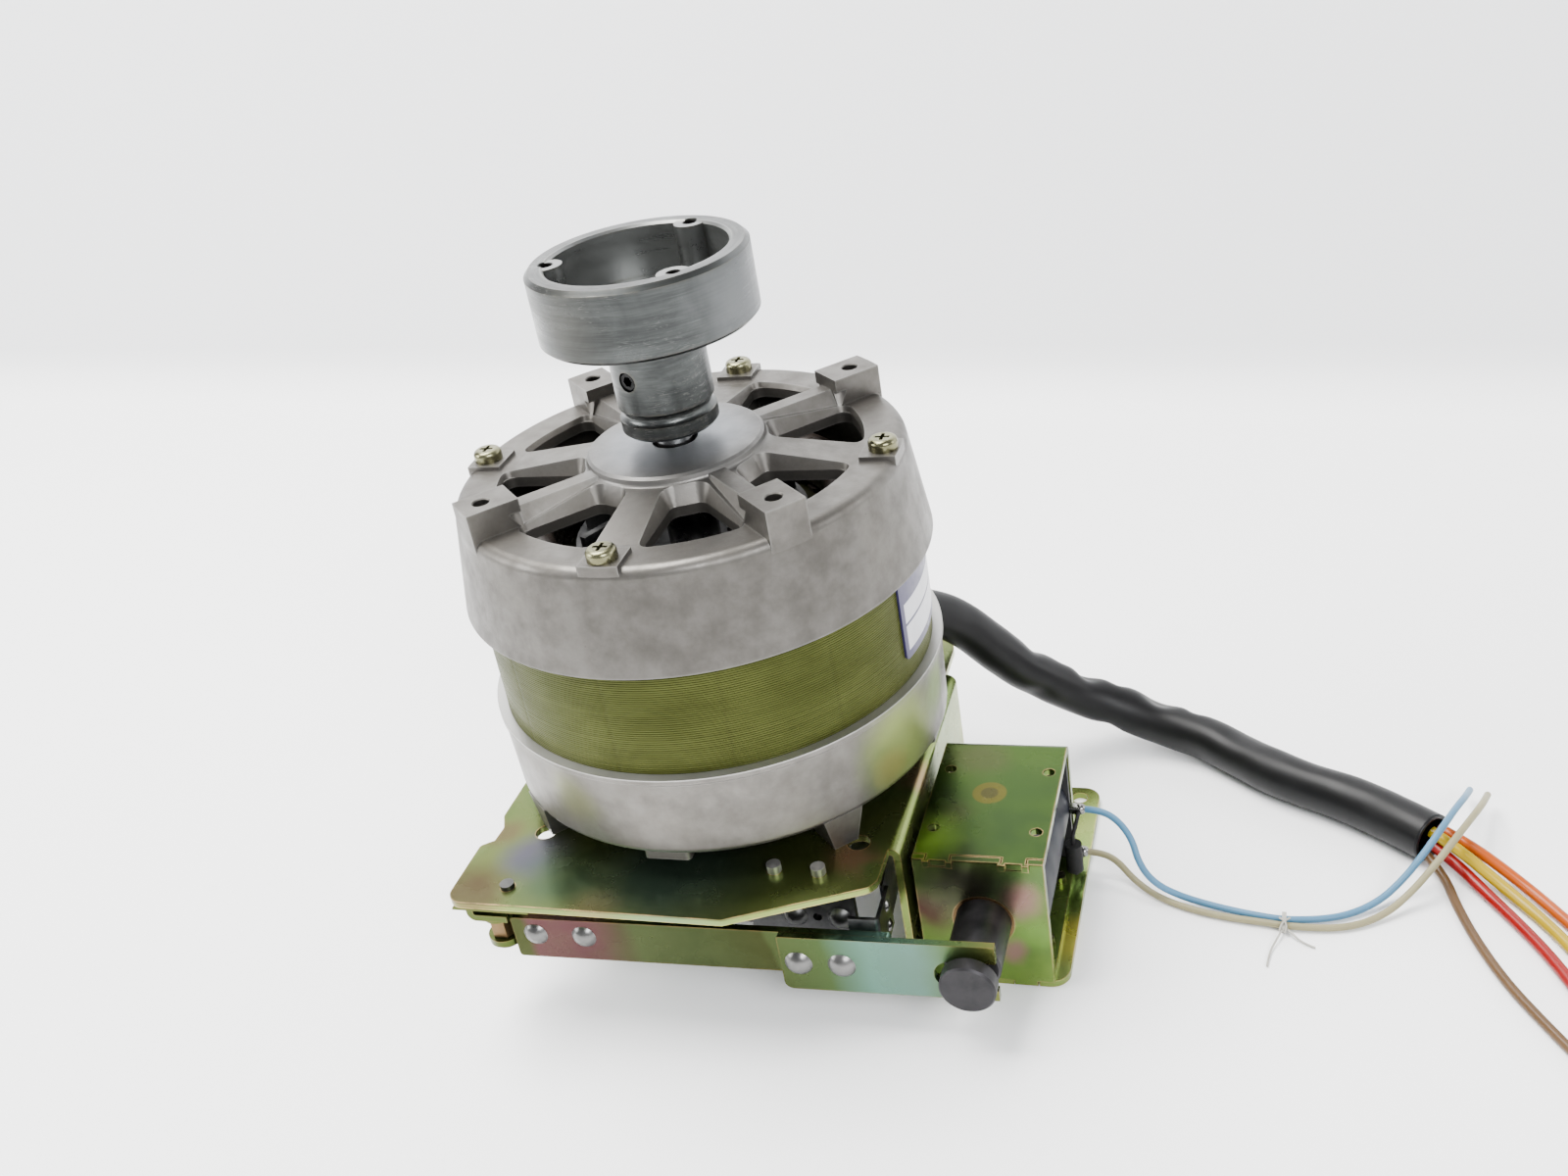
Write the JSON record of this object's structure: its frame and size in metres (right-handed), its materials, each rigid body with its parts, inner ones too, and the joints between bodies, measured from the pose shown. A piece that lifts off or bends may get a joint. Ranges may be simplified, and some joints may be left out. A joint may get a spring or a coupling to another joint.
{
  "type": "motor with solenoid brake",
  "caption": "AC motor in cast end bells with a cup-shaped drive hub, on a folded steel base with a band brake, a forked brake lever and a solenoid that releases it.",
  "frame": {"origin": "centre of the four mounting bosses' faces, on the shaft axis", "axes": "+Z along the shaft, out of the output end; +X towards the solenoid; -Y towards the brake lever"},
  "size_m": [0.2365, 0.1164, 0.1515],
  "materials": {
    "cast_aluminium": "as cast, matte grey with blotches",
    "machined_aluminium": "turned, satin with fine scratches",
    "laminations": "stacked sheet edges, varnished olive",
    "copper_windings": "varnished enamelled wire",
    "bright_steel": "ground or bright zinc",
    "dark_steel": "dark phosphate or oxide",
    "yellow_chromate": "iridescent yellow chromate on zinc",
    "yellow_zinc": "yellow zinc",
    "bronze": "plain bronze",
    "cast_rotor": "die cast",
    "brake_lining": "brown friction lining",
    "coil_tape": "dark blue tape",
    "bobbin_plastic": "moulded, dark",
    "tinned_brass": "tinned",
    "label_foil": "printed foil with plain coloured fields",
    "black_rubber": "moulded black",
    "black_pvc": "soft black sleeving",
    "orange_pvc": "wire insulation",
    "yellow_pvc": "wire insulation",
    "red_pvc": "wire insulation",
    "brown_pvc": "wire insulation",
    "blue_pvc": "wire insulation",
    "cream_pvc": "wire insulation",
    "thread": "waxed thread"
  },
  "bodies": {
    "motor_frame": {"upper_end_bell": "cast_aluminium", "lower_end_bell": "cast_aluminium", "stator_core": "laminations", "stator_windings": "copper_windings", "tie_screws": "yellow_zinc", "front_bearing_outer_ring": "bright_steel", "front_bearing_balls": "bright_steel", "rear_bearing_outer_ring": "bright_steel", "rear_bearing_balls": "bright_steel", "base_plate": "yellow_chromate", "foot_screws": "yellow_zinc", "anchor_bracket": "dark_steel", "anchor_screws": "yellow_zinc", "anchor_rivets": "bright_steel", "brake_band": "bright_steel", "brake_lining": "brake_lining", "pivot_bracket": "yellow_chromate", "bracket_fixing_screw": "yellow_zinc", "pivot_pin": "bright_steel", "pivot_spacer": "bronze", "pivot_clip": "dark_steel", "solenoid_frame": "yellow_chromate", "solenoid_front_plate": "yellow_chromate", "solenoid_screws": "yellow_zinc", "coil_bobbin": "bobbin_plastic", "coil_winding": "coil_tape", "coil_terminals": "tinned_brass", "suppression_diode": "black_rubber", "plunger_tube": "bronze", "pole_piece": "bright_steel", "return_spring": "bright_steel", "rating_label": "label_foil", "cable_grommet": "black_rubber", "cable_sleeve": "black_pvc", "orange_lead": "orange_pvc", "yellow_lead": "yellow_pvc", "red_lead": "red_pvc", "brown_lead": "brown_pvc", "blue_coil_lead": "blue_pvc", "cream_coil_lead": "cream_pvc", "lead_tie": "thread"},
    "rotor": {"shaft": "bright_steel", "rotor_core": "laminations", "rotor_cage": "cast_rotor", "front_bearing_inner_ring": "bright_steel", "rear_bearing_inner_ring": "bright_steel", "drive_hub": "machined_aluminium", "hub_set_screws": "dark_steel", "brake_drum": "machined_aluminium", "drum_set_screw": "dark_steel"},
    "plunger": {"plunger": "dark_steel"},
    "brake_lever": {"lever_bar": "yellow_chromate", "lever_fork": "yellow_chromate", "lever_hinge": "yellow_chromate", "lever_rivets": "bright_steel", "band_hook": "bright_steel", "hook_rivets": "bright_steel"}
  },
  "joints": [
    {"name": "rotor_spin", "type": "hinge", "parent": "motor_frame", "child": "rotor", "pos_m": [0, 0, 0], "axis": [0, 0, 1], "continuous": true},
    {"name": "plunger_slide", "type": "slide", "parent": "motor_frame", "child": "plunger", "axis": [0, 1, 0], "range_m": [0, 0.006], "deforming": ["return_spring"]},
    {"name": "brake_lever_swing", "type": "hinge", "parent": "motor_frame", "child": "brake_lever", "pos_m": [-0.042, -0.0476, -0.095], "axis": [0, 0, 1], "range_deg": [0, 3.37], "deforming": ["brake_band", "brake_lining"]}
  ],
  "couplings": [
    {"joint": "brake_lever_swing", "follows": "plunger_slide", "rad_per_m": 9.7847}
  ]
}
